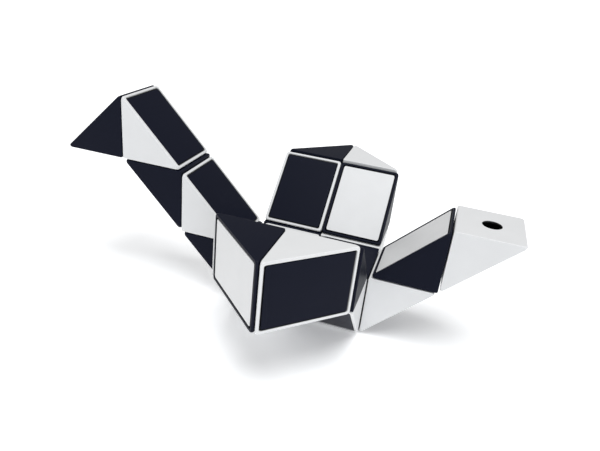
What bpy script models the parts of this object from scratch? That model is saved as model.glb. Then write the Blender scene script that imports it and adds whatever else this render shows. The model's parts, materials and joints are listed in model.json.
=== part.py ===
"""Twisty snake puzzle: twenty-four wedges joined in one chain, folded into a zigzag with two raised arms.

A wedge is half a cube, cut along its diagonal: two square joint faces at right angles, two triangular
sides, and a long sloping face that a cover plate closes. Dark and pale wedges alternate. Each joint
is a hollow boss on the dark wedge that turns in a hole in the pale wedge. A spring bolt inside the
pale wedge is screwed into the boss and draws the two square faces together.

A wedge's own frame has its right-angled edge along Y, through the origin. The incoming joint face is
in the plane Z = 0 and the outgoing one in the plane X = 0. The next wedge's Z axis runs out of the
outgoing face.
"""
import math

import bmesh
import bpy
from mathutils import Matrix, Vector

# Driving dimensions, in metres.
UNIT = 0.019  # side of the cube that a wedge is half of, and the length a joint face adds
CLEAR = 0.00015  # each wedge stands this far inside its half cube, so neighbours are twice that apart
SLOPE_CLEAR = 0.00015  # the sloping face lies this far under the half cube's diagonal
FIT = 0.0003  # gap between two pieces of one wedge
WALL = 0.00095  # wall behind a square joint face
RIM = 0.0008  # width of the rim beside the cover, along the triangular sides
LEDGE = 0.0006  # how far the ledge under the cover stands in from the rim
TIP_BEVEL = 0.0009  # rounds the two sharp edges of a wedge, which meet at 45 degrees
ROOT_BEVEL = 0.0004  # rounds the right-angled edge
SIDE_BEVEL = 0.0002  # softens the outline of the triangular sides
COVER_THICK = 0.0012
COVER_SINK = 0.0001  # the cover's face lies this far below the rim
HOLE_RADIUS = 0.00267
LIP = 0.0003  # thickness of the wall right at the hole, in front of a wider counterbore
COUNTERBORE_RADIUS = 0.0034
BOSS_RADIUS = 0.00245
BOSS_REACH = WALL  # how far the boss enters the pale wedge
BOSS_DEPTH = 0.0044  # how far the boss stands inside its own wedge
BORE_RADIUS = 0.0012
SHANK_RADIUS = 0.0009
SHANK_REACH = 0.0036  # how deep the bolt goes into the dark wedge
HEAD_RADIUS = 0.0018
HEAD_SEAT = 0.0042  # underside of the bolt's head, from the joint plane
HEAD_TOP = 0.0049
STRIP_THICK = 0.0005
STRIP_HALF_WIDTH = 0.0034
SPRING_RADIUS = 0.00145
WIRE_RADIUS = 0.00022
SPRING_TURNS = 2

# The fold: quarter turns at each joint. 0 leaves two wedges in a straight zigzag, 2 folds them back.
TURNS = (2, 0, 0, 0, 3, 1, 0, 3, 2, 1, 0, 1, 0, 1, 0, 1, 2, 3, 0, 1, 3, 0, 0)
COUNT = len(TURNS) + 1
BASE_WEDGE = 14  # the wedge that lies flat under the middle of the shape

# Where the first wedge's right-angled edge is, in units from the middle of the shape's footprint.
FIRST_EDGE = Vector((-2.5, 0.0, 2.0))
FIRST_FRAME = Matrix(((-1, 0, 0), (0, -1, 0), (0, 0, 1)))  # columns: the first wedge's X, Y and Z

BOSS_SIDES = 16
BOLT_SIDES = 8
COIL_STEPS = 8
SLOPE = Vector((1, 0, 1)).normalized()  # outward normal of the sloping face

DARK = ("dark_plastic", (0.0145, 0.0168, 0.0245, 1), 0.36, 0.0)
PALE = ("pale_plastic", (0.78, 0.79, 0.80, 1), 0.38, 0.0)
STEEL = ("spring_steel", (0.52, 0.52, 0.53, 1), 0.32, 1.0)


def clear_scene():
    for old in list(bpy.data.objects):
        bpy.data.objects.remove(old, do_unlink=True)


def new_collection(name):
    made = bpy.data.collections.new(name)
    bpy.context.scene.collection.children.link(made)
    return made


def new_material(name, colour, roughness, metallic):
    made = bpy.data.materials.new(name)
    made.use_nodes = True
    shader = made.node_tree.nodes["Principled BSDF"]
    shader.inputs["Base Color"].default_value = colour
    shader.inputs["Roughness"].default_value = roughness
    shader.inputs["Metallic"].default_value = metallic
    made.diffuse_color = colour
    return made


def object_from(bm, name, collection):
    mesh = bpy.data.meshes.new(name)
    bmesh.ops.recalc_face_normals(bm, faces=bm.faces)
    bm.to_mesh(mesh)
    bm.free()
    made = bpy.data.objects.new(name, mesh)
    collection.objects.link(made)
    return made


def box(low, high):
    """A box between two corners, as a bmesh."""
    bm = bmesh.new()
    size = [b - a for a, b in zip(low, high)]
    middle = [(a + b) / 2 for a, b in zip(low, high)]
    place = Matrix.Translation(middle) @ Matrix.Diagonal((*size, 1))
    bmesh.ops.create_cube(bm, size=1, matrix=place)
    return bm


def keep_below(bm, distance, flip=False):
    """Cuts a bmesh along the plane at a distance up the slope's normal, and closes the cut."""
    geometry = bm.verts[:] + bm.edges[:] + bm.faces[:]
    cut = bmesh.ops.bisect_plane(bm, geom=geometry, plane_co=SLOPE * distance, plane_no=SLOPE,
                                 clear_outer=not flip, clear_inner=flip, dist=1e-7)
    edges = [item for item in cut["geom_cut"] if isinstance(item, bmesh.types.BMEdge)]
    bmesh.ops.edgeloop_fill(bm, edges=edges)
    return bm


def slope_at(depth):
    """Distance up the slope's normal of a plane that lies a depth below the half cube's diagonal."""
    return UNIT / math.sqrt(2) - depth


def half_cube():
    """The outside of a wedge, with its edges rounded."""
    half = UNIT / 2 - CLEAR
    bm = keep_below(box((CLEAR, -half, CLEAR), (UNIT, half, UNIT)), slope_at(SLOPE_CLEAR))
    along = [e for e in bm.edges if abs(e.verts[0].co.y - e.verts[1].co.y) > half]
    root = [e for e in along if e.verts[0].co.x + e.verts[0].co.z < UNIT / 2]
    tips = [e for e in along if e not in root]
    bmesh.ops.bevel(bm, geom=tips, offset=TIP_BEVEL, segments=2, profile=0.5, affect="EDGES")
    root = [e for e in bm.edges if all(v.co.x + v.co.z < UNIT / 4 for v in e.verts)]
    bmesh.ops.bevel(bm, geom=root, offset=ROOT_BEVEL, segments=2, profile=0.5, affect="EDGES")
    outline = [e for e in bm.edges if abs(e.verts[0].co.y - e.verts[1].co.y) < CLEAR]
    bmesh.ops.bevel(bm, geom=outline, offset=SIDE_BEVEL, segments=1, profile=0.5, affect="EDGES")
    return bm


def cavity(side_wall, bottom):
    """The space inside a wedge, open through the slope and above a plane at a depth below it."""
    low, half = CLEAR + WALL, UNIT / 2 - CLEAR - side_wall
    bm = box((low, -half, low), (UNIT, half, UNIT))
    return bm if bottom is None else keep_below(bm, slope_at(bottom), flip=True)


def joint_frames():
    """Where the two joint faces are in a wedge: +Z of each frame runs into the wedge."""
    incoming = Matrix.Translation((UNIT / 2, 0, 0))
    outgoing = Matrix.Translation((0, 0, UNIT / 2)) @ Matrix.Rotation(math.pi / 2, 4, "Y")
    return incoming, outgoing


def cylinder(frame, radius, low, high, sides):
    """A cylinder along a frame's Z axis, between two heights."""
    bm = bmesh.new()
    place = frame @ Matrix.Translation((0, 0, (low + high) / 2))
    bmesh.ops.create_cone(bm, cap_ends=True, segments=sides, radius1=radius, radius2=radius,
                          depth=high - low, matrix=place)
    return bm


def combine(target, bm, operation, cutters):
    """Joins a bmesh to an object or cuts it away, and keeps it as a hidden guide."""
    guide = object_from(bm, target.name + "_" + operation.lower(), cutters)
    guide.hide_render = True
    guide.display_type = "WIRE"
    step = target.modifiers.new(guide.name, "BOOLEAN")
    step.operation = operation
    step.solver = "EXACT"
    step.object = guide


def finished_mesh(target, name):
    """The object's mesh with its modifiers applied. The object itself is removed."""
    bpy.context.view_layer.update()
    depsgraph = bpy.context.evaluated_depsgraph_get()
    mesh = bpy.data.meshes.new_from_object(target.evaluated_get(depsgraph))
    mesh.name = name
    mesh.shade_smooth()
    mesh.set_sharp_from_angle(angle=math.radians(30))
    bpy.data.objects.remove(target, do_unlink=True)
    return mesh


def shell_mesh(name, bosses, holes, parts, cutters):
    """A wedge's shell. bosses and holes are the frames of the joint faces that have one."""
    shell = object_from(half_cube(), name, parts)
    seat = SLOPE_CLEAR + COVER_SINK + COVER_THICK + FIT
    combine(shell, cavity(RIM + LEDGE, None), "DIFFERENCE", cutters)
    combine(shell, cavity(RIM, seat), "DIFFERENCE", cutters)
    inside = CLEAR + WALL + FIT
    for frame in holes:
        hole = cylinder(frame, HOLE_RADIUS, -WALL, inside, BOSS_SIDES)
        counterbore = cylinder(frame, COUNTERBORE_RADIUS, CLEAR + LIP, inside, BOSS_SIDES)
        combine(shell, hole, "DIFFERENCE", cutters)
        combine(shell, counterbore, "DIFFERENCE", cutters)
    for frame in bosses:
        foot = -CLEAR - BOSS_REACH
        combine(shell, cylinder(frame, BOSS_RADIUS, foot, BOSS_DEPTH, BOSS_SIDES), "UNION", cutters)
        combine(shell, cylinder(frame, BORE_RADIUS, foot - FIT, BOSS_DEPTH + FIT, BOLT_SIDES),
                "DIFFERENCE", cutters)
    return finished_mesh(shell, name)


def cover_mesh(name, parts):
    """The plate that closes the slope: its ends run parallel to the joint faces behind them."""
    low, half = CLEAR + WALL + FIT, UNIT / 2 - CLEAR - RIM - FIT
    top = SLOPE_CLEAR + COVER_SINK
    bm = keep_below(box((low, -half, low), (UNIT, half, UNIT)), slope_at(top))
    keep_below(bm, slope_at(top + COVER_THICK), flip=True)
    upper = [e for e in bm.edges if all(v.co @ SLOPE > slope_at(top + FIT / 4) for v in e.verts)]
    bmesh.ops.bevel(bm, geom=upper, offset=SIDE_BEVEL / 2, segments=1, profile=0.5, affect="EDGES")
    return finished_mesh(object_from(bm, name, parts), name)


def bolt(frame, parts, name):
    """A bolt turned from its profile, with its tip in the neighbouring wedge."""
    profile = [(0, HEAD_TOP), (HEAD_RADIUS, HEAD_TOP), (HEAD_RADIUS, HEAD_SEAT), (SHANK_RADIUS, HEAD_SEAT),
               (SHANK_RADIUS, SHANK_RADIUS - SHANK_REACH), (0, -SHANK_REACH)]
    bm = bmesh.new()
    points = [bm.verts.new((radius, 0, height)) for radius, height in profile]
    for one, two in zip(points, points[1:]):
        bm.edges.new((one, two))
    turned = object_from(bm, name, parts)
    turned.matrix_world = frame
    screw = turned.modifiers.new("turn", "SCREW")
    screw.steps = screw.render_steps = BOLT_SIDES
    screw.use_merge_vertices = True
    screw.merge_threshold = 1e-6
    return solid_of(turned)


def coil(frame, low, high, parts, name):
    """A compression spring between two heights, as a curve on a helix."""
    curve = bpy.data.curves.new(name, "CURVE")
    curve.dimensions = "3D"
    curve.bevel_depth = WIRE_RADIUS
    curve.bevel_resolution = 0
    curve.use_fill_caps = True
    spline = curve.splines.new("POLY")
    steps = SPRING_TURNS * COIL_STEPS
    spline.points.add(steps)
    for index, point in enumerate(spline.points):
        angle = 2 * math.pi * index / COIL_STEPS
        height = low + (high - low) * index / steps
        point.co = (SPRING_RADIUS * math.cos(angle), SPRING_RADIUS * math.sin(angle), height, 1)
    made = bpy.data.objects.new(name, curve)
    parts.objects.link(made)
    made.matrix_world = frame
    return solid_of(made)


def solid_of(source):
    """The evaluated object as a closed bmesh in world space. The object itself is removed."""
    bpy.context.view_layer.update()
    depsgraph = bpy.context.evaluated_depsgraph_get()
    mesh = bpy.data.meshes.new_from_object(source.evaluated_get(depsgraph))
    bm = bmesh.new()
    bm.from_mesh(mesh)
    bm.transform(source.matrix_world)
    bmesh.ops.remove_doubles(bm, verts=bm.verts, dist=1e-6)
    bpy.data.objects.remove(source, do_unlink=True)
    bpy.data.meshes.remove(mesh)
    return bm


def spring_bolts_mesh(name, frames, parts, cutters):
    """The spring bolts of a pale wedge, joined by a folded strip that the springs press on."""
    low = CLEAR + WALL + FIT
    top = low + STRIP_THICK
    end = UNIT / 2 + STRIP_HALF_WIDTH
    wide = STRIP_HALF_WIDTH
    strip = object_from(box((low, -wide, low), (end, wide, top)), name, parts)
    if len(frames) == 2:
        combine(strip, box((low, -wide, low), (top, wide, end)), "UNION", cutters)
    for frame in frames:
        combine(strip, bolt(frame, parts, name + "_bolt"), "UNION", cutters)
        combine(strip, coil(frame, top, HEAD_SEAT, parts, name + "_coil"), "UNION", cutters)
    return finished_mesh(strip, name)


def wedge_frames():
    """The frame of every wedge in the fold, from the first to the last."""
    origin = FIRST_EDGE * UNIT - Vector((0, 0, CLEAR))
    frames = [Matrix.Translation(origin) @ FIRST_FRAME.to_4x4()]
    for turns in TURNS:
        last = frames[-1]
        face = last @ Matrix.Translation((0, 0, UNIT / 2))
        # the next wedge's X runs back down the last one's Z, and its Z out of the face
        straight = Matrix(((0, 0, -1, 0), (0, -1, 0, 0), (-1, 0, 0, 0), (0, 0, 0, 1)))
        turned = Matrix.Rotation(turns * math.pi / 2, 4, "Z")
        frames.append(face @ straight @ turned @ Matrix.Translation((-UNIT / 2, 0, 0)))
    return frames


def pivot_frame(number, frame):
    """Where a wedge hangs on its neighbour towards the base wedge."""
    if number > BASE_WEDGE:
        return frame @ Matrix.Translation((UNIT / 2, 0, 0))
    if number < BASE_WEDGE:
        return frame @ Matrix.Translation((0, 0, UNIT / 2))
    return frame.copy()


def add_pivots(frames, parts):
    """One empty for each wedge, on the axis of the joint it turns on, each parented to the next."""
    places = {n: pivot_frame(n, frame) for n, frame in enumerate(frames, 1)}
    pivots = {}
    outward = list(range(BASE_WEDGE, COUNT + 1)) + list(range(BASE_WEDGE - 1, 0, -1))
    for number in outward:
        pivot = bpy.data.objects.new(f"pivot_{number:02d}", None)
        pivot.empty_display_size = UNIT / 4
        parts.objects.link(pivot)
        pivots[number] = pivot
        if number == BASE_WEDGE:
            pivot.matrix_basis = places[number]
            continue
        towards_base = number - 1 if number > BASE_WEDGE else number + 1
        pivot.parent = pivots[towards_base]
        pivot.matrix_basis = places[towards_base].inverted() @ places[number]
    return pivots, places


def add_piece(name, mesh, material, pivot, offset, parts):
    made = bpy.data.objects.new(name, mesh.copy())
    made.data.name = name
    made.data.materials.clear()
    made.data.materials.append(material)
    parts.objects.link(made)
    made.parent = pivot
    made.matrix_basis = offset


def build():
    clear_scene()
    parts = new_collection("twisty_snake_puzzle")
    cutters = new_collection("cutters")
    dark, pale, steel = (new_material(*finish) for finish in (DARK, PALE, STEEL))

    incoming, outgoing = joint_frames()
    both = (incoming, outgoing)
    dark_shell = shell_mesh("dark_shell", both, (), parts, cutters)
    first_shell = shell_mesh("first_shell", (outgoing,), (), parts, cutters)
    pale_shell = shell_mesh("pale_shell", (), both, parts, cutters)
    cover = cover_mesh("cover", parts)
    two_bolts = spring_bolts_mesh("two_bolts", both, parts, cutters)
    one_bolt = spring_bolts_mesh("one_bolt", (incoming,), parts, cutters)

    frames = wedge_frames()
    pivots, places = add_pivots(frames, parts)
    for number, frame in enumerate(frames, 1):
        is_dark = number % 2 == 1
        pivot, offset = pivots[number], places[number].inverted() @ frame
        shell = first_shell if number == 1 else dark_shell if is_dark else pale_shell
        label = f"wedge_{number:02d}"
        add_piece(label + "_shell", shell, dark if is_dark else pale, pivot, offset, parts)
        add_piece(label + "_cover", cover, pale if is_dark else dark, pivot, offset, parts)
        if not is_dark:
            bolts = one_bolt if number == COUNT else two_bolts
            add_piece(label + "_spring_bolts", bolts, steel, pivot, offset, parts)


build()
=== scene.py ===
"""Twisty snake puzzle: the looks of its casings, cover plates, screws, springs and washers.

Every piece is modelled in a wedge's own frame, which has the right-angled edge along Y through the
origin, the incoming joint face at Z = 0 and the outgoing one at X = 0. Each wedge's frame comes from
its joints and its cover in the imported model. Lengths are in metres.
"""
import json
import math

import bmesh
import bpy
from mathutils import Matrix, Vector

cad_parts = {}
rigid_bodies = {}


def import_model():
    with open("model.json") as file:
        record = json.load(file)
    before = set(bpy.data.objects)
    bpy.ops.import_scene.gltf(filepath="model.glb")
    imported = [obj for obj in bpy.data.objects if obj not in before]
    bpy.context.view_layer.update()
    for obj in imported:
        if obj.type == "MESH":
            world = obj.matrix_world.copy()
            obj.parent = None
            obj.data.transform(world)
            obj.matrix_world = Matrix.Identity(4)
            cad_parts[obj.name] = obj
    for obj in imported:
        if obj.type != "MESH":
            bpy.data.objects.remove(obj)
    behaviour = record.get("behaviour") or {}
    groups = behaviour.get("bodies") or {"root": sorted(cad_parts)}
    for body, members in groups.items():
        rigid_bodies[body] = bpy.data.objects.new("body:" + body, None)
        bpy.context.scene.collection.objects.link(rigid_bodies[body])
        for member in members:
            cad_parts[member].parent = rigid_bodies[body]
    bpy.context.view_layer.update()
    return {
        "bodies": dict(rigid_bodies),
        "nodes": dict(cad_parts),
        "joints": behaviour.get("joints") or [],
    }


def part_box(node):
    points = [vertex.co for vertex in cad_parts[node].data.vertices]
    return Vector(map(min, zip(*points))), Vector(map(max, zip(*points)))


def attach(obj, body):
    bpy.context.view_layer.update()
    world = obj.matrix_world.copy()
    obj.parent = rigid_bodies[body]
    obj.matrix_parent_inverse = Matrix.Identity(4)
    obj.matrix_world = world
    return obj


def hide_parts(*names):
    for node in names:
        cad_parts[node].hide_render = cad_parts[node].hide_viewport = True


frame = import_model()

JOINTS = {joint["name"]: joint for joint in frame["joints"]}
COUNT = len(frame["bodies"])


def joint_after(number):
    return JOINTS.get(f"twist_{number:02d}_{number + 1:02d}")


# The two joints of a wedge lie half a face's diagonal apart, and a wedge is as wide as its cube less two
# gaps.
FIRST_SPAN = Vector(joint_after(1)["pos_m"]) - Vector(joint_after(2)["pos_m"])
UNIT = FIRST_SPAN.length * math.sqrt(2)
SHELL_LOW, SHELL_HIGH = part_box("wedge_02_shell")
CLEAR = (UNIT - max(SHELL_HIGH - SHELL_LOW)) / 2

SLOPE_CLEAR = 0.00015  # the sloping face lies this far under the half cube's diagonal
WALL = 0.00095  # wall behind a joint face
RIM = 0.0008  # width of the rim beside the cover plate, along the triangular sides
END_RIM = 0.00085  # how far the plate's ends stand in from the joint faces behind them
LEDGE = 0.0006  # how far the ledge under the cover plate stands in from the rim
EDGE_RADIUS = 0.0002  # rounds every outer edge of a casing
TIP_RADIUS = 0.00037  # rounds the two sharp edges
ROOT_RADIUS = 0.0005  # rounds the right-angled edge
TIP_CORNER = 0.0008  # rounds the corners of the sloping face, seen square on
SOFT_EDGE = 0.00004  # the small radius that moulding leaves on an edge that looks sharp
SEAM = 0.00028  # gap round the cover plate
PLATE_THICK = 0.0012
PLATE_SINK = 0.00008
PLATE_CORNER = 0.0005
PLATE_EDGE = 0.00012
HOLE_RADIUS = 0.00267
LIP = 0.0003  # thickness of the wall right at the hole, in front of a wider counterbore
COUNTERBORE_RADIUS = 0.0034
BOSS_RADIUS = 0.00245
BOSS_REACH = WALL
BOSS_DEPTH = 0.0044
BORE_RADIUS = 0.0012
SHANK_RADIUS = 0.0009
SHANK_REACH = 0.0036
HEAD_RADIUS = 0.0018
HEAD_SEAT = 0.0042
HEAD_TOP = 0.0049
HEAD_STEPS = 6
HEAD_FLANK = 0.4  # share of the head's height that is below its dome
CROSS_WIDTH = 0.0006
CROSS_REACH = HEAD_RADIUS * 0.6
CROSS_DEPTH = 0.0005
THREAD_PITCH = 0.0005
THREAD_ROOT = SHANK_RADIUS * 0.8
WASHER_RADIUS = 0.0030
WASHER_BORE = SHANK_RADIUS * 1.2
WASHER_FOOT = 0.0014
WASHER_TOP = 0.0019
SPRING_RADIUS = 0.00145
WIRE_RADIUS = 0.00022
SPRING_TURNS = 3
WELD = 1e-7  # points this close are one
ROUND_STEPS = 3  # segments of a rounded edge
TIP_STEPS = 3
BALL_STEPS = 16
CIRCLE_STEPS = 64
COIL_STEPS = 24
SMOOTH_BELOW = math.radians(35)
SOFTEN_ABOVE = math.radians(50)
FLAT_BELOW = math.radians(1)
PAINTED_INSIDE_SHADE = 0.05  # painted shade: how pale the inside of a wedge is painted, beside the plastic's colour outside
SLOPE = Vector((1, 0, 1)).normalized()

# The camera: where it stands, which way it looks, and how far it is rolled about its line of sight.
CAMERA_EYE = Vector((0.0424, -0.1425, 0.0959))
CAMERA_FORWARD = Vector((-0.2275, 0.8717, -0.4340))
CAMERA_ROLL = math.radians(6.5)
CAMERA_LENS = 33.44

FLOOR_RADIUS = 8
FLOOR_GLOW = 0.28
STUDIO_GLOW = 0.4


# Shapes

def object_from(bm, name):
    mesh = bpy.data.meshes.new(name)
    bmesh.ops.recalc_face_normals(bm, faces=bm.faces)
    bm.to_mesh(mesh)
    bm.free()
    made = bpy.data.objects.new(name, mesh)
    bpy.context.scene.collection.objects.link(made)
    return made


def box(low, high):
    """A box between two corners, as a bmesh."""
    bm = bmesh.new()
    size = [b - a for a, b in zip(low, high)]
    middle = [(a + b) / 2 for a, b in zip(low, high)]
    bmesh.ops.create_cube(bm, size=1, matrix=Matrix.Translation(middle) @ Matrix.Diagonal((*size, 1)))
    return bm


def slope_at(depth):
    """Distance up the slope's normal of a plane that lies a depth below the half cube's diagonal."""
    return UNIT / math.sqrt(2) - depth


def keep_below(bm, distance, flip=False):
    """Cuts a bmesh along a plane across the slope's normal, and closes the cut."""
    geometry = bm.verts[:] + bm.edges[:] + bm.faces[:]
    cut = bmesh.ops.bisect_plane(bm, geom=geometry, plane_co=SLOPE * distance, plane_no=SLOPE,
                                 clear_outer=not flip, clear_inner=flip, dist=WELD)
    edges = [item for item in cut["geom_cut"] if isinstance(item, bmesh.types.BMEdge)]
    bmesh.ops.edgeloop_fill(bm, edges=edges)
    return bm


def round_edges(bm, edges, offset, steps):
    bmesh.ops.bevel(bm, geom=edges, offset=offset, segments=steps, profile=0.5, affect="EDGES")


def edge_balls():
    """Centres of the small balls whose hull is a wedge: round its root edge, and round its tips."""
    half = UNIT / 2 - CLEAR - EDGE_RADIUS
    centres = []
    for step in range(ROUND_STEPS + 1):
        angle = math.pi / 2 * step / ROUND_STEPS
        x, z = (CLEAR + ROOT_RADIUS - (ROOT_RADIUS - EDGE_RADIUS) * part
                for part in (math.cos(angle), math.sin(angle)))
        centres += [(x, side * half, z) for side in (-1, 1)]
    near = CLEAR + TIP_RADIUS
    far = (slope_at(SLOPE_CLEAR) - TIP_RADIUS) * math.sqrt(2) - near
    tip, bend = TIP_RADIUS - EDGE_RADIUS, TIP_CORNER - EDGE_RADIUS
    for step in range(TIP_STEPS + 1):
        share = step / TIP_STEPS  # from the joint face, round the tip, to the slope
        angle = math.radians(135 * share - 90)
        for corner in range(ROUND_STEPS + 1):
            swing = math.pi / 2 * corner / ROUND_STEPS  # from the tip's edge to the triangular side
            back = bend * (1 - math.cos(swing)) / math.sqrt(2)
            across = half - bend * (1 - math.sin(swing))
            long = far + tip * math.cos(angle) - back * (2 - share)
            short = near + tip * math.sin(angle) + back * share
            for side in (-1, 1):
                centres += [(long, side * across, short), (short, side * across, long)]
    return centres


def outside_mesh():
    """The outside of a wedge, with its edges rounded."""
    bm = bmesh.new()
    poles_out = Matrix.Rotation(math.pi / 2, 4, "X")
    for centre in edge_balls():
        bmesh.ops.create_uvsphere(bm, u_segments=BALL_STEPS, v_segments=BALL_STEPS // 2,
                                  radius=EDGE_RADIUS, matrix=Matrix.Translation(centre) @ poles_out)
    hull = bmesh.ops.convex_hull(bm, input=bm.verts[:])
    kept = {item for item in hull["geom"] if isinstance(item, bmesh.types.BMFace)}
    bmesh.ops.delete(bm, geom=[face for face in bm.faces if face not in kept], context="FACES")
    bmesh.ops.dissolve_limit(bm, angle_limit=FLAT_BELOW, verts=bm.verts[:], edges=bm.edges[:])
    bmesh.ops.recalc_face_normals(bm, faces=bm.faces)
    mesh = bpy.data.meshes.new("outside")
    bm.to_mesh(mesh)
    bm.free()
    return mesh


def plate(gap, top, bottom):
    """A plate between two depths under the slope, with rounded corners and a gap to its opening."""
    low, half = CLEAR + END_RIM + gap, UNIT / 2 - CLEAR - RIM - gap
    bm = keep_below(box((low, -half, low), (UNIT, half, UNIT)), slope_at(top))
    keep_below(bm, slope_at(bottom), flip=True)
    corners = [e for e in bm.edges if abs((e.verts[0].co - e.verts[1].co) @ SLOPE) > (bottom - top) / 2]
    round_edges(bm, corners, PLATE_CORNER, ROUND_STEPS)
    return bm


def cavity():
    """The space inside a wedge, open towards the slope."""
    low, half = CLEAR + WALL, UNIT / 2 - CLEAR - RIM - LEDGE
    bm = box((low, -half, low), (UNIT, half, UNIT))
    upright = [e for e in bm.edges if all(v.co.x < UNIT / 2 or v.co.z < UNIT / 2 for v in e.verts)]
    round_edges(bm, upright, LEDGE, ROUND_STEPS)
    return bm


def turned(place, profile, steps):
    """A closed solid turned from (radius, height) points about a frame's Z axis."""
    bm = bmesh.new()
    verts = [bm.verts.new((radius, 0, height)) for radius, height in profile]
    edges = [bm.edges.new(pair) for pair in zip(verts, verts[1:])]
    if profile[0][0] > 0 and profile[-1][0] > 0:
        edges.append(bm.edges.new((verts[-1], verts[0])))
    bmesh.ops.spin(bm, geom=verts + edges, cent=(0, 0, 0), axis=(0, 0, 1), steps=steps,
                   angle=2 * math.pi, use_merge=True)
    bmesh.ops.remove_doubles(bm, verts=bm.verts, dist=WELD)
    bm.transform(place)
    return bm


def cylinder(place, radius, low, high):
    return turned(place, [(0, high), (radius, high), (radius, low), (0, low)], CIRCLE_STEPS)


def joint_places():
    """Where the two joint faces are in a wedge: +Z of each frame runs into the wedge."""
    incoming = Matrix.Translation((UNIT / 2, 0, 0))
    outgoing = Matrix.Translation((0, 0, UNIT / 2)) @ Matrix.Rotation(math.pi / 2, 4, "Y")
    return incoming, outgoing


def combine(target, bm, operation):
    """Joins a bmesh to an object or cuts it away, for good."""
    guide = object_from(bm, "guide")
    step = target.modifiers.new("step", "BOOLEAN")
    step.operation = operation
    step.solver = "EXACT"
    step.object = guide
    apply_modifiers(target)
    bpy.data.objects.remove(guide, do_unlink=True)


def apply_modifiers(target):
    bpy.context.view_layer.update()
    depsgraph = bpy.context.evaluated_depsgraph_get()
    mesh = bpy.data.meshes.new_from_object(target.evaluated_get(depsgraph))
    target.modifiers.clear()
    target.data = mesh


def add_values(mesh, name, values):
    attribute = mesh.attributes.new(name, "FLOAT", "POINT")
    attribute.data.foreach_set("value", values)


def mark_wear(mesh):
    """Gives each vertex a wear value: 1 on a rounded edge and 0 where a flat face begins."""
    flat = set()
    for face in mesh.polygons:
        if face.area > (UNIT / 8) ** 2:
            flat.update(face.vertices)
    add_values(mesh, "wear", [0.0 if index in flat else 1.0 for index in range(len(mesh.vertices))])


def mark_painted_shade(mesh):
    """Gives each vertex of a wedge an inside value: 1 behind its walls and its cover plate, or else 0.
    The value says where shade is painted into the plastic's colour.
    """
    seat = slope_at(SLOPE_CLEAR + PLATE_SINK + PLATE_THICK * 0.9)
    behind, across = CLEAR + LIP * 0.9, UNIT / 2 - CLEAR - RIM * 0.9
    add_values(mesh, "inside", [1.0 if min(v.co.x, v.co.z) > behind and abs(v.co.y) < across
                                and v.co @ SLOPE < seat else 0.0 for v in mesh.vertices])


def finished_mesh(target, soft_edge=0.0):
    """The object's mesh, with its sharp edges softened and its flat faces shaded flat."""
    if soft_edge:
        soften = target.modifiers.new("soften", "BEVEL")
        soften.width = soft_edge
        soften.segments = 2
        soften.limit_method = "ANGLE"
        soften.angle_limit = SOFTEN_ABOVE
        apply_modifiers(target)
    target.data.shade_smooth()
    target.data.set_sharp_from_angle(angle=SMOOTH_BELOW)
    normals = target.modifiers.new("normals", "WEIGHTED_NORMAL")
    normals.weight = 100
    normals.keep_sharp = True
    apply_modifiers(target)
    mesh = target.data
    mark_wear(mesh)
    mark_painted_shade(mesh)
    bpy.data.objects.remove(target, do_unlink=True)
    return mesh


def casing_mesh(outside, bosses, holes):
    """A wedge's hollow casing. bosses and holes are the frames of the joint faces that have one."""
    casing = bpy.data.objects.new("casing", outside.copy())
    bpy.context.scene.collection.objects.link(casing)
    seat = SLOPE_CLEAR + PLATE_SINK + PLATE_THICK + CLEAR
    combine(casing, plate(0, -UNIT / 8, seat), "DIFFERENCE")
    combine(casing, cavity(), "DIFFERENCE")
    inside = WALL * 2
    for place in holes:
        combine(casing, cylinder(place, HOLE_RADIUS, -WALL, inside), "DIFFERENCE")
        combine(casing, cylinder(place, COUNTERBORE_RADIUS, CLEAR + LIP, inside), "DIFFERENCE")
    for place in bosses:
        combine(casing, cylinder(place, BOSS_RADIUS, -CLEAR - BOSS_REACH, BOSS_DEPTH), "UNION")
        combine(casing, cylinder(place, BORE_RADIUS, -WALL * 2, BOSS_DEPTH * 1.1), "DIFFERENCE")
    return finished_mesh(casing, SOFT_EDGE)


def cover_mesh():
    """The plate that closes a wedge's slope."""
    top = SLOPE_CLEAR + PLATE_SINK
    bm = plate(SEAM, top, top + PLATE_THICK)
    upper = [e for e in bm.edges if all(v.co @ SLOPE > slope_at(top + PLATE_THICK / 4) for v in e.verts)]
    round_edges(bm, upper, PLATE_EDGE, ROUND_STEPS)
    return finished_mesh(object_from(bm, "cover"))


def screw_mesh(place):
    """A pan-head screw with a threaded shank and a cross recess."""
    crown = HEAD_TOP - HEAD_SEAT
    head = [(HEAD_RADIUS * math.sin(a), HEAD_SEAT + crown * (HEAD_FLANK + (1 - HEAD_FLANK) * math.cos(a)))
            for a in (math.pi / 2 * i / HEAD_STEPS for i in range(HEAD_STEPS + 1))]
    thread = []
    turns = int((SHANK_REACH + HEAD_SEAT - 2 * SHANK_RADIUS) / THREAD_PITCH)
    for turn in range(turns):
        height = HEAD_SEAT - SHANK_RADIUS - turn * THREAD_PITCH
        thread += [(SHANK_RADIUS, height), (THREAD_ROOT, height - THREAD_PITCH / 2)]
    profile = head + [(HEAD_RADIUS, HEAD_SEAT), (SHANK_RADIUS, HEAD_SEAT)] + thread + [(0, -SHANK_REACH)]
    screw = object_from(turned(place, profile, CIRCLE_STEPS // 2), "screw")
    for wide, thin in ((CROSS_REACH, CROSS_WIDTH / 2), (CROSS_WIDTH / 2, CROSS_REACH)):
        slot = box((-wide, -thin, HEAD_TOP - CROSS_DEPTH), (wide, thin, HEAD_TOP + CROSS_DEPTH))
        slot.transform(place)
        combine(screw, slot, "DIFFERENCE")
    return finished_mesh(screw)


def washer_mesh(place):
    profile = [(WASHER_BORE, WASHER_FOOT), (WASHER_BORE, WASHER_TOP),
               (WASHER_RADIUS, WASHER_TOP), (WASHER_RADIUS, WASHER_FOOT)]
    return finished_mesh(object_from(turned(place, profile, CIRCLE_STEPS), "washer"), SOFT_EDGE)


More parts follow.
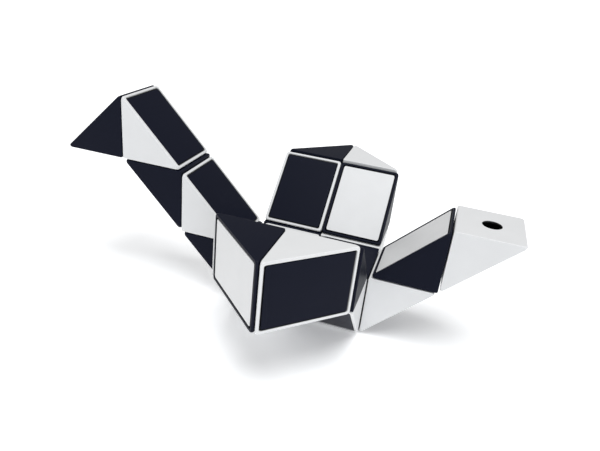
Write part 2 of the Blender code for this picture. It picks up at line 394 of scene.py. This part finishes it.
def spring_mesh(place):
    """A compression spring between the washer and the screw's head, with closed end turns."""
    curve = bpy.data.curves.new("spring", "CURVE")
    curve.dimensions = "3D"
    curve.bevel_depth = WIRE_RADIUS
    curve.bevel_resolution = 3
    curve.use_fill_caps = True
    spline = curve.splines.new("POLY")
    steps = (SPRING_TURNS + 1) * COIL_STEPS
    spline.points.add(steps)
    low, high = WASHER_TOP + WIRE_RADIUS, HEAD_SEAT - WIRE_RADIUS
    for index, point in enumerate(spline.points):
        angle = 2 * math.pi * index / COIL_STEPS
        rise = min(max((index - COIL_STEPS / 2) / (steps - COIL_STEPS), 0), 1)
        height = low + (high - low) * rise
        point.co = (SPRING_RADIUS * math.cos(angle), SPRING_RADIUS * math.sin(angle), height, 1)
    made = bpy.data.objects.new("spring", curve)
    bpy.context.scene.collection.objects.link(made)
    depsgraph = bpy.context.evaluated_depsgraph_get()
    mesh = bpy.data.meshes.new_from_object(made.evaluated_get(depsgraph))
    bpy.data.objects.remove(made, do_unlink=True)
    mesh.transform(place)
    bm = bmesh.new()
    bm.from_mesh(mesh)
    bmesh.ops.remove_doubles(bm, verts=bm.verts, dist=WELD)
    return finished_mesh(object_from(bm, "spring"))


# Materials

def node(tree, kind, inputs=None, **settings):
    """A shader node. An input is a value, or another node's output to link from."""
    made = tree.nodes.new(kind)
    for name, value in settings.items():
        setattr(made, name, value)
    for name, value in (inputs or {}).items():
        if isinstance(value, bpy.types.NodeSocket):
            tree.links.new(value, made.inputs[name])
        else:
            made.inputs[name].default_value = value
    return made


def noise(tree, size, detail=2.0, stretch=(1, 1, 1)):
    """Noise with features of about a size in metres, on the piece's own coordinates."""
    coordinates = node(tree, "ShaderNodeTexCoord").outputs["Object"]
    placed = node(tree, "ShaderNodeMapping", {"Vector": coordinates, "Scale": stretch})
    made = node(tree, "ShaderNodeTexNoise",
                {"Vector": placed.outputs["Vector"], "Scale": 1 / size, "Detail": detail})
    return made.outputs["Fac"]


def spread(tree, value, low, high, to_low, to_high):
    made = node(tree, "ShaderNodeMapRange", {"Value": value, "From Min": low, "From Max": high,
                                             "To Min": to_low, "To Max": to_high})
    return made.outputs["Result"]


def new_material(name):
    material = bpy.data.materials.new(name)
    material.use_nodes = True
    return material, material.node_tree, material.node_tree.nodes["Principled BSDF"]


def plastic(name, colour, worn, roughness, specular):
    """Satin moulded plastic: slight mottling, fine grain, hairline scuffs, edges rubbed smooth, and
    painted shade that darkens the hollow inside a wedge, its seam walls and the underside of its cover
    plate."""
    material, tree, shader = new_material(name)
    mottling = noise(tree, 0.006, 3)
    grain = noise(tree, 0.00025, 2)
    scuffs = noise(tree, 0.0006, 4, (1, 0.06, 1))
    patches = noise(tree, 0.0025, 4)

    base = node(tree, "ShaderNodeValToRGB", {"Fac": mottling})
    for stop, position, factor in zip(base.color_ramp.elements, (0.3, 0.7), (0.985, 1.015)):
        stop.position = position
        stop.color = (*(channel * factor for channel in colour), 1)
    wear = node(tree, "ShaderNodeAttribute", attribute_name="wear").outputs["Fac"]
    rubbed = node(tree, "ShaderNodeMath", {0: wear, 1: spread(tree, patches, 0.45, 0.7, 0.1, 0.6)},
                  operation="MULTIPLY").outputs[0]
    mixed = node(tree, "ShaderNodeMixRGB",
                 {"Fac": rubbed, "Color1": base.outputs["Color"], "Color2": (*worn, 1)})
    # Painted shade: where a vertex's inside value is set, the base colour turns dark, as if shade fell in
    # the hollow.
    inside = node(tree, "ShaderNodeAttribute", attribute_name="inside").outputs["Fac"]
    painted_shade_colour = (*(channel * PAINTED_INSIDE_SHADE for channel in colour), 1)
    painted_shade_mix = node(tree, "ShaderNodeMixRGB", {"Fac": spread(tree, inside, 0, 0.2, 0, 1),
                                           "Color1": mixed.outputs["Color"], "Color2": painted_shade_colour})
    tree.links.new(painted_shade_mix.outputs["Color"], shader.inputs["Base Color"])

    satin = spread(tree, scuffs, 0.35, 0.75, roughness - 0.02, roughness + 0.03)
    polished = node(tree, "ShaderNodeMath", {0: rubbed, 1: -0.12, 2: satin}, operation="MULTIPLY_ADD")
    tree.links.new(polished.outputs[0], shader.inputs["Roughness"])
    shader.inputs["Specular IOR Level"].default_value = specular

    bump = node(tree, "ShaderNodeBump", {"Height": grain, "Strength": 0.12, "Distance": 0.00002})
    tree.links.new(bump.outputs["Normal"], shader.inputs["Normal"])
    return material


def steel(name):
    """Zinc-plated steel with fine turning marks."""
    material, tree, shader = new_material(name)
    marks = noise(tree, 0.0002, 3, (1, 1, 4))
    tint = node(tree, "ShaderNodeValToRGB", {"Fac": marks})
    for stop, grey in zip(tint.color_ramp.elements, (0.45, 0.62)):
        stop.color = (grey, grey, grey * 1.02, 1)
    tree.links.new(tint.outputs["Color"], shader.inputs["Base Color"])
    tree.links.new(spread(tree, marks, 0.3, 0.7, 0.22, 0.4), shader.inputs["Roughness"])
    shader.inputs["Metallic"].default_value = 1.0
    bump = node(tree, "ShaderNodeBump", {"Height": marks, "Strength": 0.2, "Distance": 0.00002})
    tree.links.new(bump.outputs["Normal"], shader.inputs["Normal"])
    return material


# Assembly

def wedge_frame(number):
    """A wedge's own frame, from one of its joints and the outward normal of its cover plate."""
    cover = frame["nodes"][f"wedge_{number:02d}_cover"].data
    slope = max(cover.polygons, key=lambda face: face.area).normal
    joint = joint_after(number - 1) or joint_after(number)
    axis = Vector(joint["axis"]).normalized()
    first = axis if axis @ slope > 0 else -axis
    second = (slope * math.sqrt(2) - first).normalized()
    origin = Vector(joint["pos_m"]) - second * UNIT / 2
    x, z = (second, first) if joint_after(number - 1) else (first, second)
    columns = (x, z.cross(x), z, origin)
    return Matrix([[column[row] for column in columns] for row in range(3)] + [[0, 0, 0, 1]])


def add_piece(name, mesh, place, material, body, slot, *nodes):
    """A copy of a mesh, set in place on a body. Its vertices hold its place, as the CAD nodes' do."""
    own = mesh.copy()
    own.transform(place)
    own.materials.clear()
    own.materials.append(material)
    piece = bpy.data.objects.new(name, own)
    bpy.context.scene.collection.objects.link(piece)
    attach(piece, body)
    if nodes:
        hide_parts(*nodes)


def build_puzzle():
    dark = plastic("dark_plastic", (0.0064, 0.0078, 0.0165), (0.014, 0.016, 0.025), 0.4, 0.05)
    pale = plastic("pale_plastic", (0.70, 0.702, 0.705), (0.75, 0.752, 0.755), 0.38, 0.4)
    metal = steel("spring_steel")

    both = joint_places()
    incoming, outgoing = both
    outside = outside_mesh()
    first_casing = casing_mesh(outside, (outgoing,), ())
    dark_casing = casing_mesh(outside, both, ())
    pale_casing = casing_mesh(outside, (), both)
    cover = cover_mesh()
    fasteners = [(side, screw_mesh(place), spring_mesh(place), washer_mesh(place))
                 for side, place in zip(("in", "out"), both)]

    for number in range(1, COUNT + 1):
        label = f"wedge_{number:02d}"
        place = wedge_frame(number)
        is_dark = number % 2 == 1
        casing = pale_casing if not is_dark else first_casing if number == 1 else dark_casing
        own, other = ((dark, "dark_plastic"), (pale, "pale_plastic"))[::1 if is_dark else -1]
        add_piece(label + "_casing", casing, place, own[0], label, own[1], label + "_shell")
        add_piece(label + "_plate", cover, place, other[0], label, other[1], label + "_cover")
        if is_dark:
            continue
        for side, screw, spring, washer in fasteners[:2 if number < COUNT else 1]:
            stands_for = [label + "_spring_bolts"] if side == "in" else []
            add_piece(f"{label}_screw_{side}", screw, place, metal, label, "spring_steel", *stands_for)
            add_piece(f"{label}_spring_{side}", spring, place, metal, label, "spring_steel")
            add_piece(f"{label}_washer_{side}", washer, place, metal, label, "spring_steel")


# Stage

def add_camera():
    data = bpy.data.cameras.new("camera")
    data.lens = CAMERA_LENS
    data.clip_start = 0.01
    camera = bpy.data.objects.new("camera", data)
    look = CAMERA_FORWARD.to_track_quat("-Z", "Y").to_matrix().to_4x4()
    camera.matrix_world = Matrix.Translation(CAMERA_EYE) @ look @ Matrix.Rotation(CAMERA_ROLL, 4, "Z")
    bpy.context.scene.collection.objects.link(camera)
    bpy.context.scene.camera = camera


def add_floor():
    """A pale floor that glows a little, as a light table does."""
    bm = bmesh.new()
    bmesh.ops.create_circle(bm, cap_ends=True, segments=CIRCLE_STEPS, radius=FLOOR_RADIUS)
    floor = object_from(bm, "floor")
    material, _, shader = new_material("floor")
    shader.inputs["Base Color"].default_value = (0.98, 0.98, 0.98, 1)
    shader.inputs["Emission Color"].default_value = (0.97, 0.98, 1.0, 1)
    shader.inputs["Emission Strength"].default_value = FLOOR_GLOW
    shader.inputs["Roughness"].default_value = 0.9
    shader.inputs["Specular IOR Level"].default_value = 0.0
    floor.data.materials.append(material)


def aimed_light(name, kind, place, colour, **settings):
    """A light that shines from a place towards the foot of the object."""
    data = bpy.data.lights.new(name, kind)
    data.color = colour
    for setting, value in settings.items():
        setattr(data, setting, value)
    light = bpy.data.objects.new(name, data)
    aim = (-Vector(place)).to_track_quat("-Z", "Y").to_matrix().to_4x4()
    light.matrix_world = Matrix.Translation(place) @ aim
    bpy.context.scene.collection.objects.link(light)


def add_light():
    """A pale studio all round, very soft light from overhead, and a weaker soft light in front."""
    world = bpy.data.worlds.new("studio")
    world.use_nodes = True
    background = world.node_tree.nodes["Background"]
    background.inputs["Color"].default_value = (1.0, 0.992, 0.978, 1)
    background.inputs["Strength"].default_value = STUDIO_GLOW
    bpy.context.scene.world = world
    aimed_light("key_light", "SUN", (0.15, -0.2, 1.1), (0.97, 0.985, 1.0),
                energy=2.35, angle=math.radians(43))
    aimed_light("fill_light", "AREA", (0.6, -1.0, 0.35), (0.80, 0.89, 1.0),
                energy=1.8, shape="DISK", size=0.7)
    bpy.context.scene.view_settings.view_transform = "Standard"


add_camera()
add_floor()
add_light()
build_puzzle()
